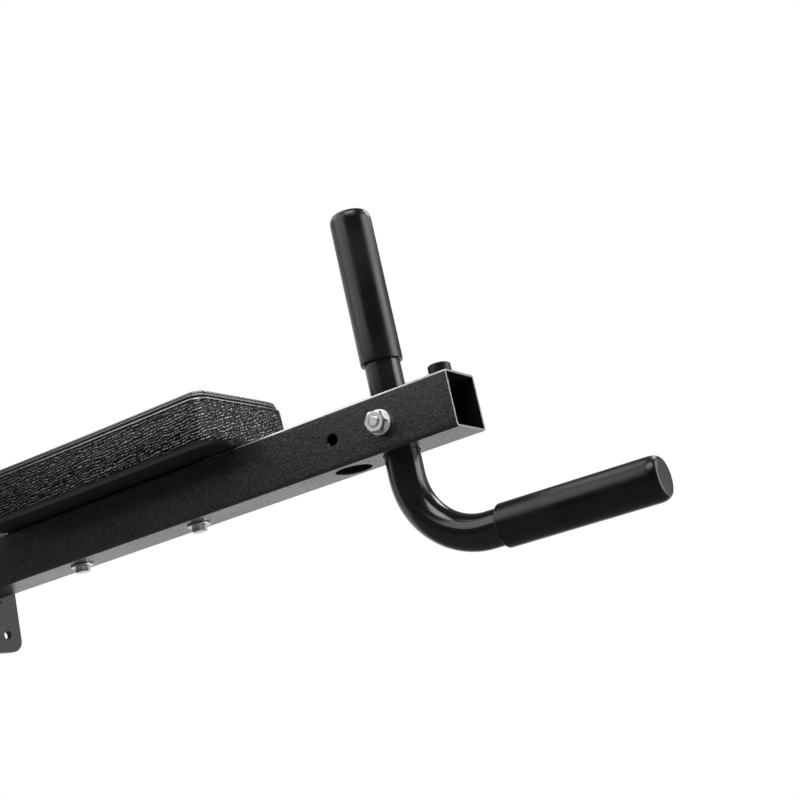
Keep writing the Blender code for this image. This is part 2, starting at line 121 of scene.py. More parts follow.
def calculate_vector(tree, operation, *values, **named):
    """The result of a VectorMath node that puts out a vector."""
    feeds = {**dict(enumerate(values)), **named}
    return add_node(tree, "VectorMath", feeds, operation=operation).outputs[0]


def distance_along(tree, place, direction):
    """How far a place lies along a direction."""
    return add_node(tree, "VectorMath", {0: place, 1: direction}, operation="DOT_PRODUCT").outputs["Value"]


def split(tree, place):
    """The X, Y and Z of a place."""
    return add_node(tree, "SeparateXYZ", {"Vector": place}).outputs


def noise(tree, place, scale, **feeds):
    """A cloudy value between 0 and 1 that varies with the place."""
    return add_node(tree, "TexNoise", {"Vector": place, "Scale": scale, **feeds}).outputs["Fac"]


def ramp_between(tree, value, low, high, out_low=0.0, out_high=1.0):
    """A smooth step from out_low to out_high as value goes from low to high."""
    feeds = {"Value": value, "From Min": low, "From Max": high, "To Min": out_low, "To Max": out_high}
    return add_node(tree, "MapRange", feeds, interpolation_type="SMOOTHSTEP").outputs["Result"]


def mix_tones(tree, share, first, second):
    """A colour that goes from first to second as share goes from 0 to 1."""
    feeds = {"Factor": share}
    for number, tone in ((6, first), (7, second)):
        feeds[number] = (*tone, 1) if isinstance(tone, tuple) else tone
    return add_node(tree, "Mix", feeds, data_type="RGBA").outputs[2]


def new_group(name, inputs, outputs):
    """Open a node group; inputs and outputs map names to kinds of socket."""
    tree = bpy.data.node_groups.new(name, "ShaderNodeTree")
    for label, (kind, value) in inputs.items():
        socket = tree.interface.new_socket(name=label, in_out="INPUT", socket_type="NodeSocket" + kind)
        if value is not None:
            socket.default_value = value
    for label, kind in outputs.items():
        tree.interface.new_socket(name=label, in_out="OUTPUT", socket_type="NodeSocket" + kind)
    return tree, tree.nodes.new("NodeGroupInput").outputs, tree.nodes.new("NodeGroupOutput")


def use_group(tree, group, feeds):
    """Place a node group in a material and give its outputs."""
    made = tree.nodes.new("ShaderNodeGroup")
    made.node_tree = group
    return feed(tree, made, feeds).outputs


def new_material(name, colour, roughness, metallic=0.0):
    """A material with a plain start, and its tree, its shader and a coordinate in metres."""
    made = bpy.data.materials.new(name)
    made.use_nodes = True
    tree = made.node_tree
    shader = tree.nodes["Principled BSDF"]
    feed(tree, shader, {"Base Color": (*colour, 1), "Roughness": roughness, "Metallic": metallic})
    return made, tree, shader, tree.nodes.new("ShaderNodeTexCoord").outputs["Object"]


def bump(tree, shader, height, distance, strength=1.0):
    """Turn a height into the shader's normal; distance is the height of 1 in metres."""
    made = add_node(tree, "Bump", {"Height": height, "Distance": distance, "Strength": strength})
    tree.links.new(made.outputs["Normal"], shader.inputs["Normal"])

# %% [markdown]
# ## Studio
#
# Black things are pictured by what they mirror. The arm hangs before a bright backdrop, and the side
# towards the camera is dark, so a black tube gets pale rims and a dark middle. The world makes that
# surround from the ray's direction, with one dark card behind at the right, which draws the handle's far
# edge. Camera rays see plain white.

# %% World
BEHIND = (-0.49, 0.87, 0.0)
CARD = (0.08, 0.965, 0.25)
world = bpy.data.worlds.new("studio")
bpy.context.scene.world = world
world.use_nodes = True
sky = world.node_tree
direction = add_node(sky, "TexCoord").outputs["Generated"]
backdrop = ramp_between(sky, distance_along(sky, direction, BEHIND), -0.20, 0.25, 0.05, 1.0)
wall_top = ramp_between(sky, split(sky, direction)["Z"], 0.22, 0.60, 1.0, 0.15)
carded = ramp_between(sky, distance_along(sky, direction, CARD), 0.90, 0.97, 1.0, 0.22)
level = calculate(sky, "MULTIPLY", calculate(sky, "MULTIPLY", backdrop, wall_top), carded)
seen = add_node(sky, "LightPath").outputs["Is Camera Ray"]
strength = calculate(sky, "MAXIMUM", level, seen)
feed(sky, sky.nodes["Background"], {"Color": (1, 1, 1, 1), "Strength": strength})
print("world nodes:", len(sky.nodes))

# %% [markdown]
# Seven soft boxes light the arm. The left box hangs high on the camera's left, so its lower edge ends about
# level with the tube, and the tube's side darkens towards the bottom. The end box stands beyond the open
# end and draws the bright stripe down the handle. The top box and the front box light the upper faces. The
# pad box and the corner box bring out the grain on the pad's front and near corner, and the washer box
# gives the washer under the nut its bright right side.

# %% Soft boxes
def softbox(name, centre, aim, width, height, watts):
    """Hang an area lamp at centre, facing aim; sizes are in metres."""
    data = bpy.data.lights.new(name, "AREA")
    data.shape = "RECTANGLE"
    data.size = width
    data.size_y = height
    data.energy = watts
    lamp = bpy.data.objects.new(name, data)
    lamp.location = centre
    lamp.rotation_euler = (Vector(aim) - Vector(centre)).to_track_quat("-Z", "Y").to_euler()
    lamp.visible_camera = False
    bpy.context.scene.collection.objects.link(lamp)
    return lamp


softbox("left_box", (0.11, -0.495, 0.56), (0.37, 0.025, 0.12), 0.80, 0.62, 3.55)
softbox("end_box", (1.365, 0.355, 0.17), (0.55, 0.0, 0.17), 0.58, 1.10, 8.6)
softbox("top_box", (-0.05, 0.05, 1.05), (0.40, 0.0, 0.0), 0.80, 1.00, 4.5)
softbox("front_box", (0.90, -0.52, 1.15), (0.45, 0.0, 0.0), 0.80, 0.60, 9.0)
softbox("pad_box", (0.84, 0.80, 0.78), (0.38, 0.0, 0.06), 0.40, 0.36, 2.8)
corner_box = softbox("corner_box", (0.772, -0.271, 0.26), (0.375, -0.06, 0.055), 0.85, 0.32, 6.2)
washer_box = softbox("washer_box", (0.74, -0.45, 0.10), (0.53, -0.03, 0.0), 0.20, 0.20, 1.1)
print("soft boxes:", len(bpy.data.lights))

# %% [markdown]
# The floor is a pale sheet well below the arm, which hangs on its wall plate. It keeps the arm's soft
# shadow near by, and fades into the white surround farther out, so no horizon shows. The camera sees it
# paler than the lamps make it. What the steel mirrors of it is bright behind the arm only.

# %% Floor
FLOOR_DROP = 0.85
FLOOR_HALF = 9.0
sheet = [(u * FLOOR_HALF, v * FLOOR_HALF, 0) for u, v in ((-1, -1), (1, -1), (1, 1), (-1, 1))]
floor_mesh = bpy.data.meshes.new("floor")
floor_mesh.from_pydata(sheet, [], [(0, 1, 2, 3)])
floor = bpy.data.objects.new("floor", floor_mesh)
floor.location = (0.35, 0, -FLOOR_DROP)
bpy.context.scene.collection.objects.link(floor)
floor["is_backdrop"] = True
floor_paint, tree, shader, place = new_material("floor_paint", (0.80, 0.80, 0.80), 0.9)
distance = add_node(tree, "VectorMath", {0: place}, operation="LENGTH").outputs["Value"]
far = ramp_between(tree, distance, 0.6, 2.0, 0.62, 1.0)
rays = add_node(tree, "LightPath").outputs
shown = calculate(tree, "MULTIPLY", far, rays["Is Camera Ray"])
white = add_node(tree, "Emission", {"Strength": 1.0}).outputs[0]
faded = add_node(tree, "MixShader", {0: shown, 1: shader.outputs[0], 2: white}).outputs[0]
beyond = distance_along(tree, place, BEHIND)
glow = ramp_between(tree, beyond, 0.95, 2.2, 0.20, 1.0)
mirrored = add_node(tree, "Emission", {"Strength": glow}).outputs[0]
blend = add_node(tree, "MixShader", {0: rays["Is Glossy Ray"], 1: faded, 2: mirrored})
tree.links.new(blend.outputs[0], tree.nodes["Material Output"].inputs["Surface"])
tone = ramp_between(tree, noise(tree, place, 3.0), 0.3, 0.7, 0.78, 0.82)
tree.links.new(tone, shader.inputs["Base Color"])
floor_mesh.materials.append(floor_paint)
print("floor:", FLOOR_DROP, "m under the arm's axis")

# %% [markdown]
# ## Shared effects
#
# Three effects serve most of the finishes. Orange peel is the fine pebbled skin of baked powder. Handling
# is the faint, uneven film that fingers leave, which shows as patches of slightly different gloss. Grain is
# the ridged skin of leatherette. Each is a group, and each material chooses its scale.

# %% Orange peel group
peel_group, ins, outs = new_group(
    "orange_peel",
    {"Vector": ("Vector", None), "Pebbles per metre": ("Float", 800.0)},
    {"Height": "Float", "Specks": "Float"},
)
spot, pebbles = ins["Vector"], ins["Pebbles per metre"]
fine = noise(peel_group, spot, pebbles, Detail=2.0, Roughness=0.6)
coarse = noise(peel_group, spot, calculate(peel_group, "MULTIPLY", pebbles, 0.31))
height = calculate(peel_group, "MULTIPLY_ADD", coarse, 0.40, fine)
specks = ramp_between(peel_group, fine, 0.40, 0.66)
feed(peel_group, outs, {"Height": height, "Specks": specks})
print("group:", peel_group.name)

# %% Handling group
handling_group, ins, outs = new_group(
    "handling",
    {"Vector": ("Vector", None), "Roughness": ("Float", 0.4), "Amount": ("Float", 0.08)},
    {"Roughness": "Float", "Film": "Float"},
)
film = ramp_between(handling_group, noise(handling_group, ins["Vector"], 22.0, Detail=5.0), 0.35, 0.70)
centred = calculate(handling_group, "SUBTRACT", film, 0.5)
rough = calculate(handling_group, "MULTIPLY_ADD", centred, ins["Amount"], ins["Roughness"])
feed(handling_group, outs, {"Roughness": rough, "Film": film})
print("group:", handling_group.name)


def wear(tree, place, roughness, amount):
    """The handling group's uneven roughness and film at a place."""
    feeds = {"Vector": place, "Roughness": roughness, "Amount": amount}
    return use_group(tree, handling_group, feeds)

# %% [markdown]
# Leatherette is a plastic film rolled with a crumpled skin: narrow ridges that run one way, wander, break
# off and join. A sine along one axis makes the ridges, 2.7 mm apart, and noise pushes its coordinates
# about. The edges of Voronoi cells break the ridges into short lengths.

# %% Leather grain group
grain_group, ins, outs = new_group(
    "leather_grain",
    {"Vector": ("Vector", None), "Ridges per metre": ("Float", 400.0), "Wander": ("Float", 1.0)},
    {"Height": "Float", "Creases": "Float", "Tops": "Float"},
)
scaled = calculate_vector(grain_group, "SCALE", ins["Vector"], Scale=ins["Ridges per metre"])
drift = add_node(grain_group, "TexNoise", {"Vector": scaled, "Scale": 0.42, "Detail": 1.5})
centred = calculate_vector(grain_group, "SUBTRACT", drift.outputs["Color"], (0.5, 0.5, 0.5))
push = calculate_vector(grain_group, "SCALE", centred, Scale=ins["Wander"])
moved = calculate_vector(grain_group, "ADD", scaled, push)
turn = calculate(grain_group, "MULTIPLY", split(grain_group, moved)["Z"], 2 * pi)
ridges = calculate(grain_group, "MULTIPLY_ADD", calculate(grain_group, "SINE", turn), 0.5, 0.5)
tall = calculate_vector(grain_group, "MULTIPLY", moved, (1.0, 1.0, 0.35))
feeds = {"Vector": tall, "Scale": 1.4, "Randomness": 1.0}
cells = add_node(grain_group, "TexVoronoi", feeds, feature="DISTANCE_TO_EDGE")
breaks = ramp_between(grain_group, cells.outputs["Distance"], 0.0, 0.18, 0.15, 1.0)
height = calculate(grain_group, "MULTIPLY", ridges, breaks)
creases = ramp_between(grain_group, height, 0.0, 0.35, 1.0, 0.0)
tops = ramp_between(grain_group, height, 0.32, 0.85, 0.08, 0.95)
feed(grain_group, outs, {"Height": height, "Creases": creases, "Tops": tops})
print("group:", grain_group.name)

# %% [markdown]
# ## Finishes of the steel
#
# The arm is powder coated: a black, slightly pebbled, half-matt skin. The bent handle has a smoother satin
# coat. Both are nearly black, so the gloss does the work. Nuts and bolts are bright zinc plate, a soft
# mirror with faint brush marks and duller patches. The near washer is more matt, and its zinc is painted a
# little paler: a painted highlight.

# %% Powder coat
def make_powder(name):
    """A pebbled coat, with its parts for a material that adds to it."""
    made, tree, shader, place = new_material(name, (0.018, 0.018, 0.019), 0.34)
    peel = use_group(tree, peel_group, {"Vector": place, "Pebbles per metre": 700.0})
    marks = wear(tree, place, 0.25, 0.03)
    pebbled = calculate(tree, "MULTIPLY_ADD", peel["Specks"], 0.10, marks["Roughness"])
    specked = mix_tones(tree, peel["Specks"], (0.012, 0.012, 0.013), (0.026, 0.026, 0.027))
    feed(tree, shader, {"Base Color": specked, "Roughness": pebbled, "Specular IOR Level": 0.70})
    bump(tree, shader, peel["Height"], 0.00020)
    return made, tree, shader, place, specked


powder_coat = make_powder("black_powder_coat")[0]
print("finish:", powder_coat.name)

# %% [markdown]
# On the tube itself, bright steel is painted over the sawn end and along the two upper edges near the open
# end: painted highlights, standing in for the lamps' reflection along those edges. A mask made from the
# place on the tube sets the steel there. Inside the tube the gloss is turned down, a painted shade that
# keeps the inside dark, so the gloss is kept for the outer skin.

# %% Powder coat with painted edge highlights
EDGE_HIGHLIGHT_STARTS = 0.0476
EDGE_HIGHLIGHT_FULL = 0.0482
tube_low, tube_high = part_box("arm_tube")
pad_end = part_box("pad_cushion")[1].x
# The tube's powder coat, with painted highlights on its upper edges and its sawn end.
highlit_powder_coat, tree, shader, place, coat_colour = make_powder("powder_coat_painted_highlights")
axes = split(tree, place)
aside = calculate(tree, "ABSOLUTE", axes["Y"])
over_edge = calculate(tree, "ADD", aside, axes["Z"])
# Painted highlight along the two upper edges, near the open end.
edge_highlight = ramp_between(tree, over_edge, EDGE_HIGHLIGHT_STARTS, EDGE_HIGHLIGHT_FULL, 0.0, 0.90)
open_part = ramp_between(tree, axes["X"], pad_end - 0.055, pad_end - 0.02)
upper_edge_highlight = calculate(tree, "MULTIPLY", edge_highlight, open_part)
# Painted highlight on the sawn end.
sawn_end_highlight = ramp_between(tree, axes["X"], tube_high.x - 0.0005, tube_high.x - 0.0001, 0.0, 0.45)
painted_highlight = calculate(tree, "MAXIMUM", upper_edge_highlight, sawn_end_highlight)
# Inside the tube the gloss drops to 0.05: painted shade that keeps the tube's inside dark.
off_axis = calculate(tree, "MAXIMUM", aside, calculate(tree, "ABSOLUTE", axes["Z"]))
gloss = ramp_between(tree, off_axis, tube_high.z - 0.0018, tube_high.z - 0.0012, 0.05, 0.70)
# Bright steel colour and metal where the highlights are painted.
steel = mix_tones(tree, painted_highlight, coat_colour, (0.66, 0.66, 0.67))
feed(tree, shader, {"Base Color": steel, "Metallic": painted_highlight, "Specular IOR Level": gloss})
print("finish:", highlit_powder_coat.name)

# %% Satin coat of the handle
def make_smooth(name, dark, light, roughness, amount, pebbles, depth, specular):
    """A smooth skin: two tones and a gloss that follow the handling film, and shallow pebbles."""
    made, tree, shader, place = new_material(name, dark, roughness)
    peel = use_group(tree, peel_group, {"Vector": place, "Pebbles per metre": pebbles})
    marks = wear(tree, place, roughness, amount)
    tone = mix_tones(tree, marks["Film"], dark, light)
    feed(tree, shader, {"Base Color": tone, "Roughness": marks["Roughness"]})
    feed(tree, shader, {"Specular IOR Level": specular})
    bump(tree, shader, peel["Height"], depth)
    return made


satin_tones = (0.011, 0.011, 0.0115), (0.016, 0.016, 0.0165)
satin_black = make_smooth("satin_black_tube", *satin_tones, 0.17, 0.06, 420.0, 0.00004, 0.5)
print("finish:", satin_black.name)

# %% Zinc plate
def make_zinc(name, dull, bright, roughness):
    """Plated metal with patches of two tones and fine brush marks."""
    made, tree, shader, place = new_material(name, bright, roughness, 1.0)
    marks = wear(tree, place, roughness, 0.12)
    stretch = add_node(tree, "Mapping", {"Vector": place, "Scale": (1500, 300, 1500)})
    tone = mix_tones(tree, marks["Film"], dull, bright)
    feed(tree, shader, {"Base Color": tone, "Roughness": marks["Roughness"]})
    bump(tree, shader, noise(tree, stretch.outputs[0], 1.0, Detail=3.0), 0.00001)
    return made


zinc = make_zinc("zinc_plate", (0.80, 0.81, 0.82), (0.92, 0.92, 0.92), 0.40)
# The near washer's zinc is more matt and painted a little paler than the nut's: a painted highlight.
washer_zinc_painted_paler = make_zinc("matt_zinc_plate_painted_paler", (0.84, 0.84, 0.85), (0.95, 0.95, 0.95), 0.52)
# Zinc painted dark for the hidden fasteners: painted shade for the dark places they sit in.
zinc_painted_dark = make_zinc("zinc_plate_painted_shade", (0.10, 0.10, 0.11), (0.22, 0.22, 0.23), 0.62)
print("finishes:", zinc.name, washer_zinc_painted_paler.name, zinc_painted_dark.name)

# %% [markdown]
# ## Finishes of the soft pieces
#
# The grips are dipped rubber, smooth and a little dull and uneven in gloss. The peg is harder and more
# matt. The pad's leatherette has its ridges along each face, as cloth that is pulled tight round foam has,
# with painted shade in the creases and a painted sheen on the ridge tops. At the pad's foot the cover is
# pulled smooth and painted a little paler, and along the seam a band of it is painted paler and glossier,
# without grain: painted highlights.

# %% Rubbers
grip_tones = (0.0055, 0.0055, 0.006), (0.0095, 0.0095, 0.010)
grip_rubber = make_smooth("grip_rubber", *grip_tones, 0.28, 0.10, 1100.0, 0.00007, 0.38)
peg_tones = (0.003, 0.003, 0.003), (0.007, 0.007, 0.007)
peg_rubber = make_smooth("peg_rubber", *peg_tones, 0.36, 0.10, 900.0, 0.00007, 0.30)
print("finishes:", grip_rubber.name, peg_rubber.name)

# %% Leatherette
cord_low, cord_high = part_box("pad_piping")
cord_z = (cord_low.z + cord_high.z) / 2
leatherette, tree, shader, place = new_material("black_leatherette", (0.010, 0.010, 0.011), 0.30)
axes = split(tree, place)
side_rows = distance_along(tree, place, (-0.05, -0.30, 1.0))
top_rows = distance_along(tree, place, (0.12, 1.0, 0.3))
on_top = calculate(tree, "GREATER_THAN", axes["Z"], cord_z + 0.0024)
rows = add_node(tree, "Mix", {"Factor": on_top, 2: side_rows, 3: top_rows}).outputs[0]
short_x, short_y = [calculate(tree, "MULTIPLY", axes[name], 0.55) for name in "XY"]
lie = add_node(tree, "CombineXYZ", {"X": short_x, "Y": short_y, "Z": rows}).outputs[0]
grain = use_group(tree, grain_group, {"Vector": lie, "Ridges per metre": 365.0, "Wander": 1.9})
marks = wear(tree, place, 0.20, 0.05)
smooth = ramp_between(tree, axes["Z"], tube_high.z + 0.0012, tube_high.z + 0.0058, 1.0, 0.0)
# The band along the seam is painted paler, glossier and nearly without grain: a painted highlight.
seam_highlight_band = calculate(tree, "COMPARE", axes["Z"], cord_z - 0.0017, 0.0041)
# Painted shade: the creases are painted darker than the ridges.
crease_shade_tone = mix_tones(tree, grain["Creases"], (0.005, 0.005, 0.0055), (0.001, 0.001, 0.001))
# The seam band, and the smooth foot at 0.45, are painted paler: a painted highlight.
painted_paleness = calculate(tree, "MULTIPLY_ADD", smooth, 0.45, seam_highlight_band)
tone = mix_tones(tree, painted_paleness, crease_shade_tone, (0.030, 0.030, 0.031))
dulled = calculate(tree, "MULTIPLY_ADD", smooth, 0.16, marks["Roughness"])
plain = calculate(tree, "MULTIPLY_ADD", smooth, 0.8, seam_highlight_band)
# Gloss is strong on the ridge tops, the seam band and the foot, weak in the creases: a painted sheen and
# painted shade.
painted_sheen = calculate(tree, "MAXIMUM", grain["Tops"], plain)
feed(tree, shader, {"Base Color": tone, "Roughness": dulled, "Specular IOR Level": painted_sheen, "IOR": 1.6})
kept = calculate(tree, "MULTIPLY_ADD", smooth, -0.95, 1.0)
depth = calculate(tree, "MULTIPLY_ADD", seam_highlight_band, -0.8, kept)
bump(tree, shader, grain["Height"], 0.00042, depth)
print("finish:", leatherette.name)

# %% Plywood
plywood, tree, shader, place = new_material("birch_plywood", (0.52, 0.38, 0.23), 0.70)
layers = add_node(tree, "Mapping", {"Vector": place, "Scale": (6, 60, 900)})
veneer = noise(tree, layers.outputs[0], 1.0, Detail=4.0)
feed(tree, shader, {"Base Color": mix_tones(tree, veneer, (0.40, 0.27, 0.15), (0.62, 0.47, 0.30))})
bump(tree, shader, veneer, 0.0002)
print("finish:", plywood.name)

# %% [markdown]
# ## Small tools for shapes
#
# Most pieces here are skins through rings of points: a tube is one ring moved along a line, and a washer is
# a small profile turned round an axis. Sharp corners look false in a render, so a helper rounds a profile's
# corners before it is turned.

# %% Helpers for shapes
X_AXIS = Vector((1, 0, 0))
Y_AXIS = Vector((0, 1, 0))
Z_AXIS = Vector((0, 0, 1))


def skin(rings, closed=False):
    """Join rings of points into a surface; a ring may be one point, and closed joins last to first."""
    mesh_data = bmesh.new()
    loops = [[mesh_data.verts.new(point) for point in ring] for ring in rings]
    pairs = list(zip(loops, loops[1:]))
    if closed:
        pairs.append((loops[-1], loops[0]))
    for first, second in pairs:
        count = max(len(first), len(second))
        for i in range(count):
            j = (i + 1) % count
            corners = [first[i % len(first)], first[j % len(first)]]
            corners += [second[j % len(second)], second[i % len(second)]]
            mesh_data.faces.new(list(dict.fromkeys(corners)))
    if not closed:
        for end in (loops[0], loops[-1]):
            if len(end) > 2:
                mesh_data.faces.new(end)
    return mesh_data


def rounded(corners, radius, steps=3, loop=False):
    """Round the corners of a profile by short curves that start radius away from each corner."""
    corners = [Vector(corner) for corner in corners]
    points = []
    for i, here in enumerate(corners):
        if not loop and i in (0, len(corners) - 1):
            points.append(here)
            continue
        before = corners[i - 1] - here
        after = corners[(i + 1) % len(corners)] - here
        start = here + before.normalized() * min(radius, 0.45 * before.length)
        end = here + after.normalized() * min(radius, 0.45 * after.length)
        for k in range(steps + 1):
            t = k / steps
            points.append((1 - t) ** 2 * start + 2 * t * (1 - t) * here + t * t * end)
    return points


def full_turn(sides):
    """The angles of a full turn in equal steps."""
    return [2 * pi * k / sides for k in range(sides)]


def circle(turns, radius, height):
    """A level ring of points about Z at these angles."""
    return [Vector((radius * cos(a), radius * sin(a), height)) for a in turns]


def turned(profile, sides, loop=False):
    """Turn a profile of (radius, height) points about Z."""
    turns = full_turn(sides)
    return skin([circle(turns, r, z) if r > 1e-7 else [Vector((0, 0, z))] for r, z in profile], loop)


def lengths_along(path):
    """The distance from a path's start to each of its points."""
    return np.cumsum([0] + [(b - a).length for a, b in zip(path, path[1:])])


def middle_x(name):
    """The middle of a CAD piece along the arm."""
    return sum(corner.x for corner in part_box(name)) / 2


def placed(x, y, z, degrees=0, axis="Z"):
    """Turn a piece about an axis, then move its origin to x, y, z."""
    return Matrix.Translation((x, y, z)) @ Matrix.Rotation(radians(degrees), 4, axis)


def to_object(name, mesh_data):
    """Turn a mesh's faces outward and put it into the scene."""
    bmesh.ops.recalc_face_normals(mesh_data, faces=mesh_data.faces)
    mesh = bpy.data.meshes.new(name)
    mesh_data.to_mesh(mesh)
    mesh_data.free()
    made = bpy.data.objects.new(name, mesh)
    bpy.context.scene.collection.objects.link(made)
    return made


def make_piece(name, mesh_data, material, slot, body, stands_for, where=None, sharp=40):
    """Finish a mesh: its place, smooth shading, its material and its body in the CAD's table; slot is not
    used.
    """
    if where is not None:
        bmesh.ops.transform(mesh_data, matrix=where, verts=mesh_data.verts)
    piece = to_object(name, mesh_data)
    piece.data.shade_smooth()
    piece.data.set_sharp_from_angle(angle=radians(sharp))
    piece.data.materials.append(material)
    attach(piece, body)
    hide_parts(*stands_for)
    return piece

# %% [markdown]
# ## Arm tube
#
# The tube is drawn square steel, 50 mm across, sawn off square, with holes for the handle and its bolt, for
# the pad's bolts and for the peg's screw. The holes are cut with a Boolean. Then every cut edge gets a
# narrow bevel, because paint never sits on a knife edge, and the bevel catches light.

# %% Cutting and bevelling
def rounded_rectangle(length, width, corner, arc_steps, side_steps=(1, 1), bows=(0.0, 0.0)):
    """Outline of a rectangle with round corners; bows push its long sides and its ends out."""
    half_l = length / 2 - corner
    half_w = width / 2 - corner
    arcs = []
    for quarter, (u, v) in enumerate(((1, 1), (-1, 1), (-1, -1), (1, -1))):
        turns = [pi / 2 * (quarter + k / arc_steps) for k in range(arc_steps + 1)]
        arcs.append([Vector((u * half_l + corner * cos(a), v * half_w + corner * sin(a))) for a in turns])
    points = []
    for quarter, arc in enumerate(arcs):
        points.extend(arc)
        steps = side_steps[quarter % 2]
        outward = Vector((cos(pi / 2 * (quarter + 1)), sin(pi / 2 * (quarter + 1))))
        for k in range(1, steps):
            s = k / steps
            bow = 4 * s * (1 - s) * bows[quarter % 2]
            points.append(arc[-1].lerp(arcs[(quarter + 1) % 4][0], s) + outward * bow)
    return points


def drill(mesh_data, holes):
    """Cut round holes, each (start, end, diameter)."""
    blank = to_object("blank", mesh_data)
    tools = [blank]
    for start, end, diameter in holes:
        axis = Vector(end) - Vector(start)
        rod = turned([(0, 0), (diameter / 2, 0), (diameter / 2, axis.length), (0, axis.length)], 72)
        where = Matrix.Translation(start) @ axis.to_track_quat("Z", "Y").to_matrix().to_4x4()
        bmesh.ops.transform(rod, matrix=where, verts=rod.verts)
        tools.append(to_object("rod", rod))
        step = blank.modifiers.new("hole", "BOOLEAN")
        step.object = tools[-1]
        step.solver = "EXACT"
    cut = bmesh.new()
    cut.from_object(blank, bpy.context.evaluated_depsgraph_get())
    for tool in tools:
        bpy.data.objects.remove(tool, do_unlink=True)
    return cut


def bevel_edges(mesh_data, width, segments=2):
    """Bevel every edge whose faces meet at more than 50 degrees."""
    steep = radians(50)
    edges = [e for e in mesh_data.edges if len(e.link_faces) == 2 and e.calc_face_angle(0) > steep]
    bmesh.ops.bevel(mesh_data, geom=edges, offset=width, segments=segments, profile=0.6, affect="EDGES",
                    clamp_overlap=True)
    return mesh_data

# %% Arm tube
TUBE_SIZE = tube_high.z - tube_low.z
TUBE_HALF = TUBE_SIZE / 2
TUBE_WALL = 0.002
TUBE_CORNER = 0.003
CUT_EDGE = 0.0004
ARM_END = tube_high.x

FRONT_HOLE_X = middle_x("lock_nut")
REAR_HOLE_X = FRONT_HOLE_X - 0.050
PEG_X = middle_x("stop_peg")
PAD_BOLT_XS = [middle_x("pad_bolt_" + end) for end in ("rear", "front")]
HANDLE_HOLE = 0.033
LOCK_HOLE = 0.011
PAD_BOLT_HOLE = 0.009
PEG_SCREW_HOLE = 0.0068

outer = rounded_rectangle(TUBE_SIZE, TUBE_SIZE, TUBE_CORNER, 8)
bore = TUBE_SIZE - 2 * TUBE_WALL
inner = rounded_rectangle(bore, bore, TUBE_CORNER - TUBE_WALL, 8)
sections = [(outer, tube_low.x), (outer, ARM_END), (inner, ARM_END), (inner, tube_low.x)]
square_tube = skin([[Vector((x, u, v)) for u, v in outline] for outline, x in sections], closed=True)
handle_xs = (FRONT_HOLE_X, REAR_HOLE_X)
holes = [((x, 0, -TUBE_SIZE), (x, 0, TUBE_SIZE), HANDLE_HOLE) for x in handle_xs]
holes += [((x, -TUBE_SIZE, 0), (x, TUBE_SIZE, 0), LOCK_HOLE) for x in handle_xs]
holes += [((x, 0, -TUBE_SIZE), (x, 0, TUBE_SIZE), PAD_BOLT_HOLE) for x in PAD_BOLT_XS]
holes.append(((PEG_X, 0, 0), (PEG_X, 0, TUBE_SIZE), PEG_SCREW_HOLE))
square_tube = bevel_edges(drill(square_tube, holes), CUT_EDGE)
tube_coat = (highlit_powder_coat, "powder_coat")
arm_tube = make_piece("arm_square_tube", square_tube, *tube_coat, "arm", ["arm_tube"], sharp=30)
arm_tube.modifiers.new("flat_faces", "WEIGHTED_NORMAL").keep_sharp = True
print("arm tube faces:", len(arm_tube.data.polygons))

# %% [markdown]
# ## Wall plate and weld
#
# The photo doesn't show how the arm is fixed. The CAD has a drilled plate welded to the tube's end. The
# weld is a fillet with overlapping ripples, made by swelling a small profile up and down as it is swept
# round the tube.

# %% Wall plate
HOLE_Y = 0.032
HOLE_Z = 0.062
plate_low, plate_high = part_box("wall_plate")
plate_size = plate_high - plate_low
outline = rounded_rectangle(plate_size.y, plate_size.z, 0.012, 10)
slab = skin([[Vector((x, u, v)) for u, v in outline] for x in (plate_low.x, plate_high.x)])
corners = [(y, z) for y in (-HOLE_Y, HOLE_Y) for z in (-HOLE_Z, HOLE_Z)]
slab = drill(slab, [((-0.01, y, z), (0.02, y, z), 0.009) for y, z in corners])
slab = bevel_edges(slab, 0.0007, 3)
plate = make_piece("drilled_wall_plate", slab, powder_coat, "powder_coat", "arm", ["wall_plate"], sharp=30)
plate.modifiers.new("flat_faces", "WEIGHTED_NORMAL").keep_sharp = True
print("plate faces:", len(plate.data.polygons))

# %% Weld
weld_low, weld_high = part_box("weld_bead")
LEG = weld_high.x - weld_low.x
RIPPLE = 0.0032
FOOT = 0.0004
path = rounded_rectangle(TUBE_SIZE, TUBE_SIZE, TUBE_CORNER, 8, (48, 48))
lengths = lengths_along(path)
rings = [[Vector((weld_low.x, *(point * (1 + FOOT / TUBE_HALF)))) for point in path]]
for k in range(9):
    ring = []
    turn = pi / 2 * k / 8
    for i, point in enumerate(path):
        wave = 0.5 + 0.5 * cos(2 * pi * lengths[i] / RIPPLE + 1.4 * sin(turn))
        swell = LEG * (0.80 + 0.13 * wave * sin(2 * turn))
        outward = point * (1 + (FOOT + swell * cos(turn)) / TUBE_HALF)
        ring.append(Vector((weld_low.x + swell * sin(turn), *outward)))
    rings.append(ring)
weld = skin(rings, closed=True)
make_piece("rippled_weld", weld, powder_coat, "powder_coat", "arm", ["weld_bead"], sharp=60)
print("weld ripples:", round(lengths[-1] / RIPPLE))

# %% [markdown]
# ## Handle
#
# The handle is one round tube: straight down through the arm, a bend under it, and a straight run forward.
# A sweep with many sections keeps the bend's highlight smooth. The cross hole for the lock bolt is inside
# the arm.

# %% Bent tube
def sweep(route, radius):
    """Rings round a route of (point, direction) pairs that lies in the XZ plane."""
    rings = []
    for point, along in route:
        across = Vector((-along.z, 0, along.x))
        rings.append([point + radius * (cos(a) * across + sin(a) * Y_AXIS) for a in full_turn(72)])
    return rings


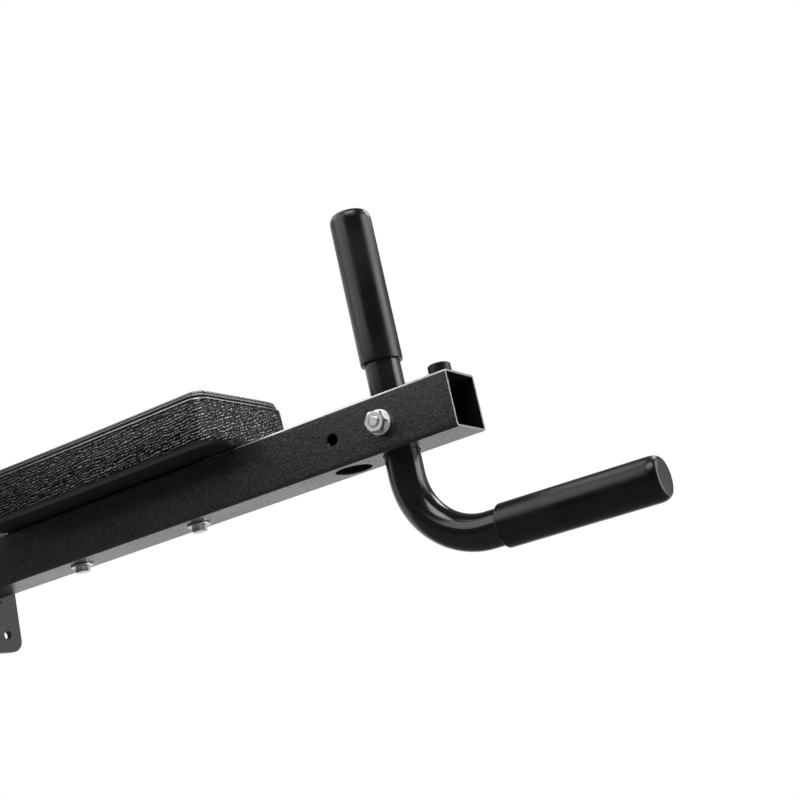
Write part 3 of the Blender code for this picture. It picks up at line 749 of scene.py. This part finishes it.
handle_low, handle_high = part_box("handle_tube")
HANDLE_RADIUS = (handle_high.y - handle_low.y) / 2
RUN_Z = handle_low.z + HANDLE_RADIUS
BEND_RADIUS = 0.065
BEND_STEPS = 40
bend_centre = Vector((FRONT_HOLE_X + BEND_RADIUS, 0, RUN_Z + BEND_RADIUS))
drop = np.linspace(handle_high.z, bend_centre.z + 0.004, 12)
route = [(Vector((FRONT_HOLE_X, 0, z)), -Z_AXIS) for z in drop]
for k in range(BEND_STEPS + 1):
    turn = pi / 2 * k / BEND_STEPS
    point = bend_centre - BEND_RADIUS * Vector((cos(turn), 0, sin(turn)))
    route.append((point, Vector((sin(turn), 0, -cos(turn)))))
run = np.linspace(bend_centre.x + 0.004, handle_high.x, 8)
route += [(Vector((x, 0, RUN_Z)), X_AXIS) for x in run]
bent_tube = skin(sweep(route, HANDLE_RADIUS) + sweep(route[::-1], HANDLE_RADIUS - 0.002), closed=True)
bent_tube = drill(bent_tube, [((FRONT_HOLE_X, -0.03, 0), (FRONT_HOLE_X, 0.03, 0), LOCK_HOLE)])
make_piece("bent_handle", bent_tube, satin_black, "satin_black", "arm", ["handle_tube"])
print("handle sections:", len(route))

# %% [markdown]
# ## Grips
#
# Each grip is a rubber sleeve, closed and rounded at one end, with a small soft lip at the other. One
# profile is turned for both.

# %% Grips
grip_low, grip_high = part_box("upper_grip")
GRIP_RADIUS = (grip_high.y - grip_low.y) / 2
GRIP_LENGTH = grip_high.z - grip_low.z
END_WALL = 0.004
END_ROUND = 0.0092
RIM_ROUND = 0.0044


def grip_sleeve():
    """A sleeve along Z from its open end at 0 up to its closed end."""
    bore = HANDLE_RADIUS + 0.0003
    floor_z = GRIP_LENGTH - END_WALL
    profile = [Vector((0, floor_z)), Vector((bore, floor_z)), Vector((bore, 0.0))]
    profile += rounded([(bore, 0), (GRIP_RADIUS, 0), (GRIP_RADIUS, 0.02)], 0.0016, 5)[1:-1]
    profile += [Vector((GRIP_RADIUS, z)) for z in np.linspace(0.01, GRIP_LENGTH - END_ROUND, 9)]
    for k in range(1, 13):
        turn = pi / 2 * k / 12
        radius = GRIP_RADIUS - RIM_ROUND * (1 - cos(turn))
        profile.append(Vector((radius, GRIP_LENGTH - END_ROUND * (1 - sin(turn)))))
    profile += [Vector((0.6 * GRIP_RADIUS, GRIP_LENGTH)), Vector((0, GRIP_LENGTH))]
    return turned(profile, 96)


upright = placed(FRONT_HOLE_X, 0, grip_low.z)
make_piece("grip_up", grip_sleeve(), grip_rubber, "grip_rubber", "arm", ["upper_grip"], upright, 50)
forward = placed(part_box("lower_grip")[0].x, 0, RUN_Z, 90, "Y")
make_piece("grip_forward", grip_sleeve(), grip_rubber, "grip_rubber", "arm", ["lower_grip"], forward, 50)
print("grips:", round(1000 * GRIP_LENGTH, 1), "mm long")

# %% [markdown]
# ## Nut, bolt and washers
#
# The lock bolt is a standard M10 with a hexagon head on the far side and a nut on the near side. A shallow
# cone is turned on a real hexagon, so its six corners are cut in curves. Here each point of the outline is
# lowered by how far it lies outside the flat face, which gives those curves. The thread is a ridge whose
# phase runs round the shank.

# %% Hexagon and thread shapes
HEX_CONE = tan(radians(27))


def hexagon(flats, corner_round, flat_steps=10, turn=0.0):
    """Outline of a hexagon with slightly rounded corners, the same number of points on each side."""
    reach = flats / sqrt(3)
    corners = [Vector((reach * cos(turn + pi / 3 * k), reach * sin(turn + pi / 3 * k))) for k in range(6)]
    soft = rounded(corners, corner_round, 4, loop=True)
    points = []
    for k in range(6):
        points += soft[5 * k:5 * k + 5]
        start, end = soft[5 * k + 4], soft[(5 * k + 5) % 30]
        points += [start.lerp(end, s / flat_steps) for s in range(1, flat_steps)]
    return points


def cone_rings(outline, flats, level, sign):
    """The chamfered end of a hexagon: its flat face's rim, then the outline lowered by the cone."""
    rim = 0.49 * flats
    face = [Vector((*(rim * point.normalized()), level)) for point in outline]
    edge = []
    for point in outline:
        drop = max(point.length - rim, 0) * HEX_CONE
        edge.append(Vector((*point, level - sign * drop)))
    return face, edge


def thread_rings(turns, radius, depth, pitch, low, high, taper=0.0):
    """Rings of a screw thread between two heights; taper draws in the low end."""
    count = ceil((high - low) / (pitch / 6))
    rings = []
    for i in range(count + 1):
        z = low + (high - low) * i / count
        ring = []
        for a in turns:
            phase = (z / pitch - a / (2 * pi)) % 1.0
            r = radius - depth * abs(2 * phase - 1)
            if taper:
                r = min(r, radius - taper + (z - low))
            ring.append(Vector((r * cos(a), r * sin(a), z)))
        rings.append(ring)
    return rings


def hex_bolt(flats, head, radius, length, threaded, pitch):
    """A bolt along Z: head above z = 0, thread down to z = -length."""
    outline = hexagon(flats, 0.0006)
    turns = [atan2(point.y, point.x) for point in outline]
    face, edge = cone_rings(outline, flats, head, 1)
    foot = [Vector((0.98 * point.x, 0.98 * point.y, 0)) for point in outline]
    low_edge = [Vector((*point, 0.0003)) for point in outline]
    rings = [[Vector((0, 0, head))], face, edge, low_edge, foot]
    shank = ((radius + 0.0004, 0), (radius, -0.0004), (radius, -length + threaded))
    rings += [circle(turns, r, z) for r, z in shank]
    rings += thread_rings(turns, radius, 0.0006, pitch, -length, -length + threaded, 0.0013)[::-1]
    rings.append([Vector((0, 0, -length))])
    return skin(rings)


def hex_nut(flats, height, bore, pitch, turn):
    """A nut along Z from 0 up, chamfered at both ends, with a thread cut outwards from its bore."""
    outline = hexagon(flats, 0.0004, turn=turn)
    turns = [atan2(point.y, point.x) for point in outline]
    low_face, low_edge = cone_rings(outline, flats, 0.0, -1)
    high_face, high_edge = cone_rings(outline, flats, height, 1)
    low_mouth, high_mouth = [circle(turns, bore + 0.0004, z) for z in (0, height)]
    rings = [low_mouth, low_face, low_edge, high_edge, high_face, high_mouth]
    cut = thread_rings(turns, bore + 0.0003, 0.0003, pitch, 0.0004, height - 0.0004)
    return skin(rings + cut[::-1], closed=True)


def washer(outer, bore, thickness):
    """A flat washer along Z from 0 up, its edges a little rounded."""
    profile = rounded([(bore, 0), (outer, 0), (outer, thickness), (bore, thickness)], 0.0002, 3, loop=True)
    return turned(profile, 72, loop=True)

# %% Lock bolt, nut and washers
M10_FLATS = 0.017
M10_PITCH = 0.0015
M10_WASHER_BORE = 0.0055
nut_low, nut_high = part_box("lock_nut")
washer_low, washer_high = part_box("nut_washer")
WASHER_RADIUS = (washer_high.x - washer_low.x) / 2
at_nut = placed(FRONT_HOLE_X, nut_high.y, 0, 90, "X")
nut_mesh = hex_nut(M10_FLATS, nut_high.y - nut_low.y, 0.0051, M10_PITCH, radians(-5))
make_piece("hex_nut", nut_mesh, zinc, "zinc", "lock_nut", ["lock_nut"], at_nut, 15)
disc = washer(WASHER_RADIUS, M10_WASHER_BORE, washer_high.y - washer_low.y)
at_washer = placed(FRONT_HOLE_X, washer_high.y, 0, 90, "X")
# The near washer takes the paler zinc, a painted highlight.
matt = (washer_zinc_painted_paler, "zinc")
near_washer = make_piece("washer_under_nut", disc, *matt, "lock_nut", ["nut_washer"], at_washer, 60)

bolt_low, bolt_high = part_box("lock_bolt")
far_low, far_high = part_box("bolt_washer")
head_seat = far_high.y + 0.0003
reach = head_seat - bolt_low.y - 0.0008
bolt_mesh = hex_bolt(M10_FLATS, bolt_high.y - head_seat, 0.005, reach, 0.030, M10_PITCH)
at_head = placed(FRONT_HOLE_X, head_seat, 0, -90, "X")
make_piece("hex_lock_bolt", bolt_mesh, zinc, "zinc", "lock_bolt", ["lock_bolt"], at_head, 24)
disc = washer(WASHER_RADIUS, M10_WASHER_BORE, far_high.y - far_low.y)
at_far = placed(FRONT_HOLE_X, far_low.y, 0, -90, "X")
make_piece("washer_under_head", disc, zinc, "zinc", "lock_bolt", ["bolt_washer"], at_far, 60)
print("lock bolt:", round(1000 * (bolt_high.y - bolt_low.y), 1), "mm over all")

# %% [markdown]
# The pad's two bolts come up through the tube into tee nuts in the board. Their heads and large washers
# show under the arm, in M8.

# %% Pad bolts
for end, x in zip(("rear", "front"), PAD_BOLT_XS):
    low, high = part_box(f"pad_bolt_{end}")
    ring_low, ring_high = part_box(f"pad_washer_{end}")
    seat = ring_low.z - 0.0003
    shape = hex_bolt(0.013, seat - low.z, 0.004, high.z - seat, 0.022, 0.00125)
    upside_down = placed(x, 0, seat, 180, "X")
    make_piece(f"hex_pad_bolt_{end}", shape, zinc, "zinc", "arm", [f"pad_bolt_{end}"], upside_down, 24)
    disc = washer((ring_high.x - ring_low.x) / 2, 0.0045, ring_high.z - ring_low.z)
    under = placed(x, 0, ring_low.z)
    make_piece(f"large_washer_{end}", disc, zinc, "zinc", "arm", [f"pad_washer_{end}"], under, 60)
print("pad bolts at x =", [round(x, 3) for x in PAD_BOLT_XS])

# %% [markdown]
# ## Peg
#
# A short hard-rubber peg stands on the tube near its end, with a small chamfer on top. Its screw and washer
# and the pad's tee nuts are hidden, so the CAD's own shapes are kept there, in zinc painted dark: painted
# shade, so they stay as dark as the places they sit in.

# %% Peg and hidden fasteners
peg_low, peg_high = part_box("stop_peg")
PEG_RADIUS = (peg_high.x - peg_low.x) / 2
PEG_HEIGHT = peg_high.z - peg_low.z
shape = [(0, 0.009), (0.0033, 0.009), (0.0033, 0), (PEG_RADIUS - 0.0003, 0), (PEG_RADIUS, 0.0005)]
shape += [(PEG_RADIUS, PEG_HEIGHT - 0.0012), (PEG_RADIUS - 0.0012, PEG_HEIGHT), (0, PEG_HEIGHT)]
peg_mesh = turned(rounded(shape, 0.0004, 3), 72)
at_peg = placed(PEG_X, 0, peg_low.z)
make_piece("rubber_peg", peg_mesh, peg_rubber, "peg_rubber", "arm", ["stop_peg"], at_peg, 50)
# The hidden fasteners get the zinc painted dark, a painted shade.
for name in ("peg_screw", "peg_washer", "tee_nut_front", "tee_nut_rear"):
    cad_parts[name].material_slots[0].material = zinc_painted_dark
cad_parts["pad_board"].material_slots[0].material = plywood
print("peg:", round(2000 * PEG_RADIUS, 1), "x", round(1000 * PEG_HEIGHT, 1), "mm")

# %% [markdown]
# ## Pad
#
# The forearm pad is foam on a plywood board, in a leatherette cover: a side band, a top panel, and a piping
# sewn between them. The side band bulges, the top panel is crowned, and the cover is turned in under the
# board. The final shape is drawn ring by ring, so the seam stays crisp, and a cloth simulation says how far
# each part of the cover swells.

# %% Pad outline and profile
PAD_X = middle_x("pad_piping")
PAD_LENGTH = 0.3020
PAD_WIDTH = 0.131
PAD_CORNER = 0.0135
PAD_BOWS = (-0.0011, 0.0004)
PIPING_RADIUS = 0.0014
SEAM_Z = cord_z - TUBE_HALF
PIPING_Z = SEAM_Z - 0.0015
PIPING_INSET = 0.0018
CREASE = SEAM_Z - 0.0068
FOOT_Z = 0.0003
POCKET_Z = 0.0015
HEM = 0.050
LOWER_ROUND = 0.008
LOWER_RISE = 0.0070
WALL_LEAN = 0.0013
CROWN_FOOT = SEAM_Z + 0.0025
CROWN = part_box("pad_cushion")[1].z - TUBE_HALF - CROWN_FOOT
SIDE_STEPS = (110, 44)


def pad_ring(outward, z, scale=1.0, side_steps=SIDE_STEPS, arc_steps=12):
    """The pad's outline in plan, moved outward and lifted to z above the tube."""
    length = PAD_LENGTH + 2 * outward
    width = PAD_WIDTH + 2 * outward
    corner = max(PAD_CORNER + outward, 0.002)
    outline = rounded_rectangle(length, width, corner, arc_steps, side_steps, PAD_BOWS)
    return [Vector((scale * point.x, scale * point.y, z)) for point in outline]


# Each pair is how far outward, and how high above the stitched crease, in millimetres
SEAM_PROFILE = [(-0.1, -0.5), (-0.4, -0.1), (-0.4, 0.1), (0.0, 0.5), (0.3, 1.0), (0.1, 1.7), (-0.35, 2.6),
                (-0.8, 3.0), (-2.4, 3.2), (-4.6, 3.3), (-4.8, 3.9), (-4.6, 6.7), (-3.4, 6.8), (-1.7, 6.85),
                (-1.0, 6.95), (-0.8, 7.2), (-1.0, 7.8), (-1.3, 8.5), (-1.9, 8.9), (-2.8, 9.1)]


def fullness(z):
    """How far the wall stands out: most near its foot, little at the seam."""
    return 0.0004 + WALL_LEAN * (1 - (z / CREASE) ** 2)


def pad_rings(side_steps=SIDE_STEPS, arc_steps=12, wall_steps=22, crown_steps=26, seam=True):
    """All rings of the pad's cover, from the pocket for the board round to the crown's middle."""
    def ring(outward, z, scale=1.0):
        return pad_ring(outward, z, scale, side_steps, arc_steps)

    rings = [ring(-0.004, 0.0141), ring(-0.004, POCKET_Z), ring(-HEM, POCKET_Z), ring(-HEM, FOOT_Z)]
    rings += [ring(-HEM * share, FOOT_Z) for share in (0.75, 0.5, 0.3, 0.2)]
    for k in range(11):
        turn = pi / 2 * k / 10
        z = FOOT_Z + LOWER_RISE * (1 - cos(turn))
        rings.append(ring(fullness(z) - LOWER_ROUND * (1 - sin(turn)), z))
    wall = np.linspace(FOOT_Z + LOWER_RISE, CREASE - 0.0009, wall_steps + 1)[1:]
    rings += [ring(fullness(z), z) for z in wall]
    if seam:
        rings += [ring(outward / 1000, CREASE + rise / 1000) for outward, rise in SEAM_PROFILE]
    for k in range(crown_steps):
        scale = 1 - (k / crown_steps) ** 1.1
        rings.append(ring(-0.0060, CROWN_FOOT + CROWN * (1 - scale ** 3), max(scale, 0.02)))
    return rings


print("crown of the pad in mm:", round(1000 * CROWN, 1))

# %% [markdown]
# The simulation runs on a coarse, even copy of the cover. It is held along the piping and round the board,
# and inner pressure swells the rest, as foam under a tight cover does. The movement is capped.

# %% Swell the cover
MOST_SWELL = 0.0024


def simulate_swelling(voxel=0.0042, pressure=22.0, frames=20):
    """Return the places of a coarse copy of the cover, and how far each of its points swells."""
    rings = pad_rings((36, 16), 5, 9, 9, seam=False)
    underside = pad_ring(-0.003, FOOT_Z, 1.0, (36, 16), 5)
    top = [Vector((0, 0, rings[-1][0].z))]
    trial = to_object("cover_trial", skin([underside] + rings[9:] + [top]))
    remesh = trial.modifiers.new("even", "REMESH")
    remesh.mode = "VOXEL"
    remesh.voxel_size = voxel
    even = bpy.data.meshes.new_from_object(trial.evaluated_get(bpy.context.evaluated_depsgraph_get()))
    trial.modifiers.clear()
    trial.data = even
    places = np.array([point.co for point in even.vertices])
    held = trial.vertex_groups.new(name="held")
    for index, (x, y, z) in enumerate(places):
        at_board = z < 0.009
        inset = min(PAD_LENGTH / 2 - abs(x), PAD_WIDTH / 2 - abs(y))
        at_piping = CREASE - 0.001 < z < CROWN_FOOT + 0.001 and inset < 0.012
        if at_board or at_piping:
            held.add([index], 1.0, "REPLACE")
    cloth = trial.modifiers.new("swell", "CLOTH")
    cover = cloth.settings
    cover.quality = 6
    cover.mass = 0.25
    cover.tension_stiffness = 22
    cover.compression_stiffness = 22
    cover.bending_stiffness = 1.2
    cover.use_pressure = True
    cover.uniform_pressure_force = pressure
    cover.effector_weights.gravity = 0
    cover.vertex_group_mass = "held"
    cloth.point_cache.frame_start = 1
    cloth.point_cache.frame_end = frames
    for step in range(1, frames + 1):
        bpy.context.scene.frame_set(step)
    swollen = trial.evaluated_get(bpy.context.evaluated_depsgraph_get()).data
    after = np.array([point.co for point in swollen.vertices])
    bpy.data.objects.remove(trial, do_unlink=True)
    bpy.context.scene.frame_set(1)
    moves = after - places
    lengths = np.linalg.norm(moves, axis=1, keepdims=True)
    moves *= np.minimum(1, MOST_SWELL / np.maximum(lengths, 1e-9))
    return places, moves


swelling = None
swelling = simulate_swelling()
mean_swell = np.linalg.norm(swelling[1], axis=1).mean()
print("cover points:", len(swelling[0]), "mean swell mm:", round(1000 * mean_swell, 2))

# %% [markdown]
# Each point of the drawn rings takes the average movement of its nearest simulated points. Points on the
# seam, in the pocket and on the underside stay where they are, so the cover still lies flat on the board
# and the arm.

# %% Cushion
def tucked(point):
    """Draw the seam in a little at the far front corner, where the real pad's is not quite full."""
    reach = (PAD_LENGTH / 2 - point.x) + (PAD_WIDTH / 2 - point.y)
    at_seam = 0.25 + 0.75 * min(max((point.z - CREASE - 0.001) / 0.005, 0.0), 1.0)
    pull = 0.0044 * max(0.0, 1 - reach / 0.030) ** 1.5 * at_seam
    return point + Vector((-pull, -pull, 0))


def swell_share(z):
    """How much of the swelling a point takes: none at the board and at the seam, all between them."""
    side = np.clip((z - 0.004) / 0.010, 0, 1) * np.clip((CREASE - 0.0005 - z) / 0.009, 0, 1)
    top = np.clip((z - CROWN_FOOT) / 0.003, 0, 1)
    return float(max(side, top))


cushion_mesh = skin(pad_rings() + [[Vector((0, 0, CROWN_FOOT + CROWN))]])
for vertex in cushion_mesh.verts:
    vertex.co = tucked(vertex.co)
if swelling is None:
    for vertex in cushion_mesh.verts:
        x, y, z = vertex.co
        if z < PIPING_Z:
            near_end = PAD_LENGTH / 2 - abs(x) < PAD_WIDTH / 2 - abs(y)
            outward = Vector((np.sign(x), 0, 0)) if near_end else Vector((0, np.sign(y), 0))
            vertex.co += MOST_SWELL * swell_share(z) * outward
else:
    places, moves = swelling
    lookup = KDTree(len(places))
    for index, spot in enumerate(places):
        lookup.insert(spot, index)
    lookup.balance()
    for vertex in cushion_mesh.verts:
        share = swell_share(vertex.co.z)
        if share > 0 and vertex.co.z > 0.002:
            near = lookup.find_n(vertex.co, 6)
            weights = [1 / (gap + 0.001) for _, _, gap in near]
            pushes = [weight * Vector(moves[index]) for weight, (_, index, _) in zip(weights, near)]
            vertex.co += share * sum(pushes, Vector()) / sum(weights)
above_tube = placed(PAD_X, 0, TUBE_HALF)
soft_cover = (leatherette, "leatherette")
cushion = make_piece("crowned_pad", cushion_mesh, *soft_cover, "arm", ["pad_cushion"], above_tube, 70)
print("cushion faces:", len(cushion.data.polygons))

# %% [markdown]
# The piping is a cord wrapped in a strip of the same leatherette and sewn in. Each stitch pulls the strip
# in a little, so along its length it swells and narrows every 2.6 mm.

# %% Piping
STITCH = 0.0026
path = [tucked(point) for point in pad_ring(-PIPING_INSET, PIPING_Z, 1.0, (460, 190), 40)]
lengths = lengths_along(path + [path[0]])
stitches = round(lengths[-1] / STITCH)
rings = []
for i, point in enumerate(path):
    along = (path[(i + 1) % len(path)] - path[i - 1]).normalized()
    outward = along.cross(Z_AXIS)
    pull = abs(cos(pi * stitches * lengths[i] / lengths[-1])) ** 6
    radius = PIPING_RADIUS * (1.0 - 0.12 * pull)
    rings.append([point + radius * (cos(a) * outward + sin(a) * Z_AXIS) for a in full_turn(14)])
cord = skin(rings, closed=True)
piping = make_piece("stitched_piping", cord, *soft_cover, "arm", ["pad_piping"], above_tube, 80)
print("stitches in the piping:", stitches)

# %% [markdown]
# Two of the lamps have flags round them. The corner box lights the pad alone, and the washer box lights the
# near washer alone, so neither greys the metal beside them.

# %% Flag two lamps
def light_only(lamp, pieces):
    """Let a lamp light these pieces and nothing else."""
    lit = bpy.data.collections.new("lit_by_" + lamp.name)
    for piece in pieces:
        lit.objects.link(piece)
    lamp.light_linking.receiver_collection = lit
    print(lamp.name, "lights only", [piece.name for piece in pieces])


light_only(corner_box, [cushion, piping])
light_only(washer_box, [near_washer])

# %% [markdown]
# ## Size
#
# The dressed part is meant to be as big as the CAD model, so its box is compared with the CAD's box, and
# the largest step outside it is printed.

# %% Compare the sizes
seen_low, seen_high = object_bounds()
outside = [low - seen for low, seen in zip(cad_low, seen_low)]
outside += [seen - high for seen, high in zip(seen_high, cad_high)]
print("largest step outside the CAD box in mm:", round(1000 * max(outside), 2))
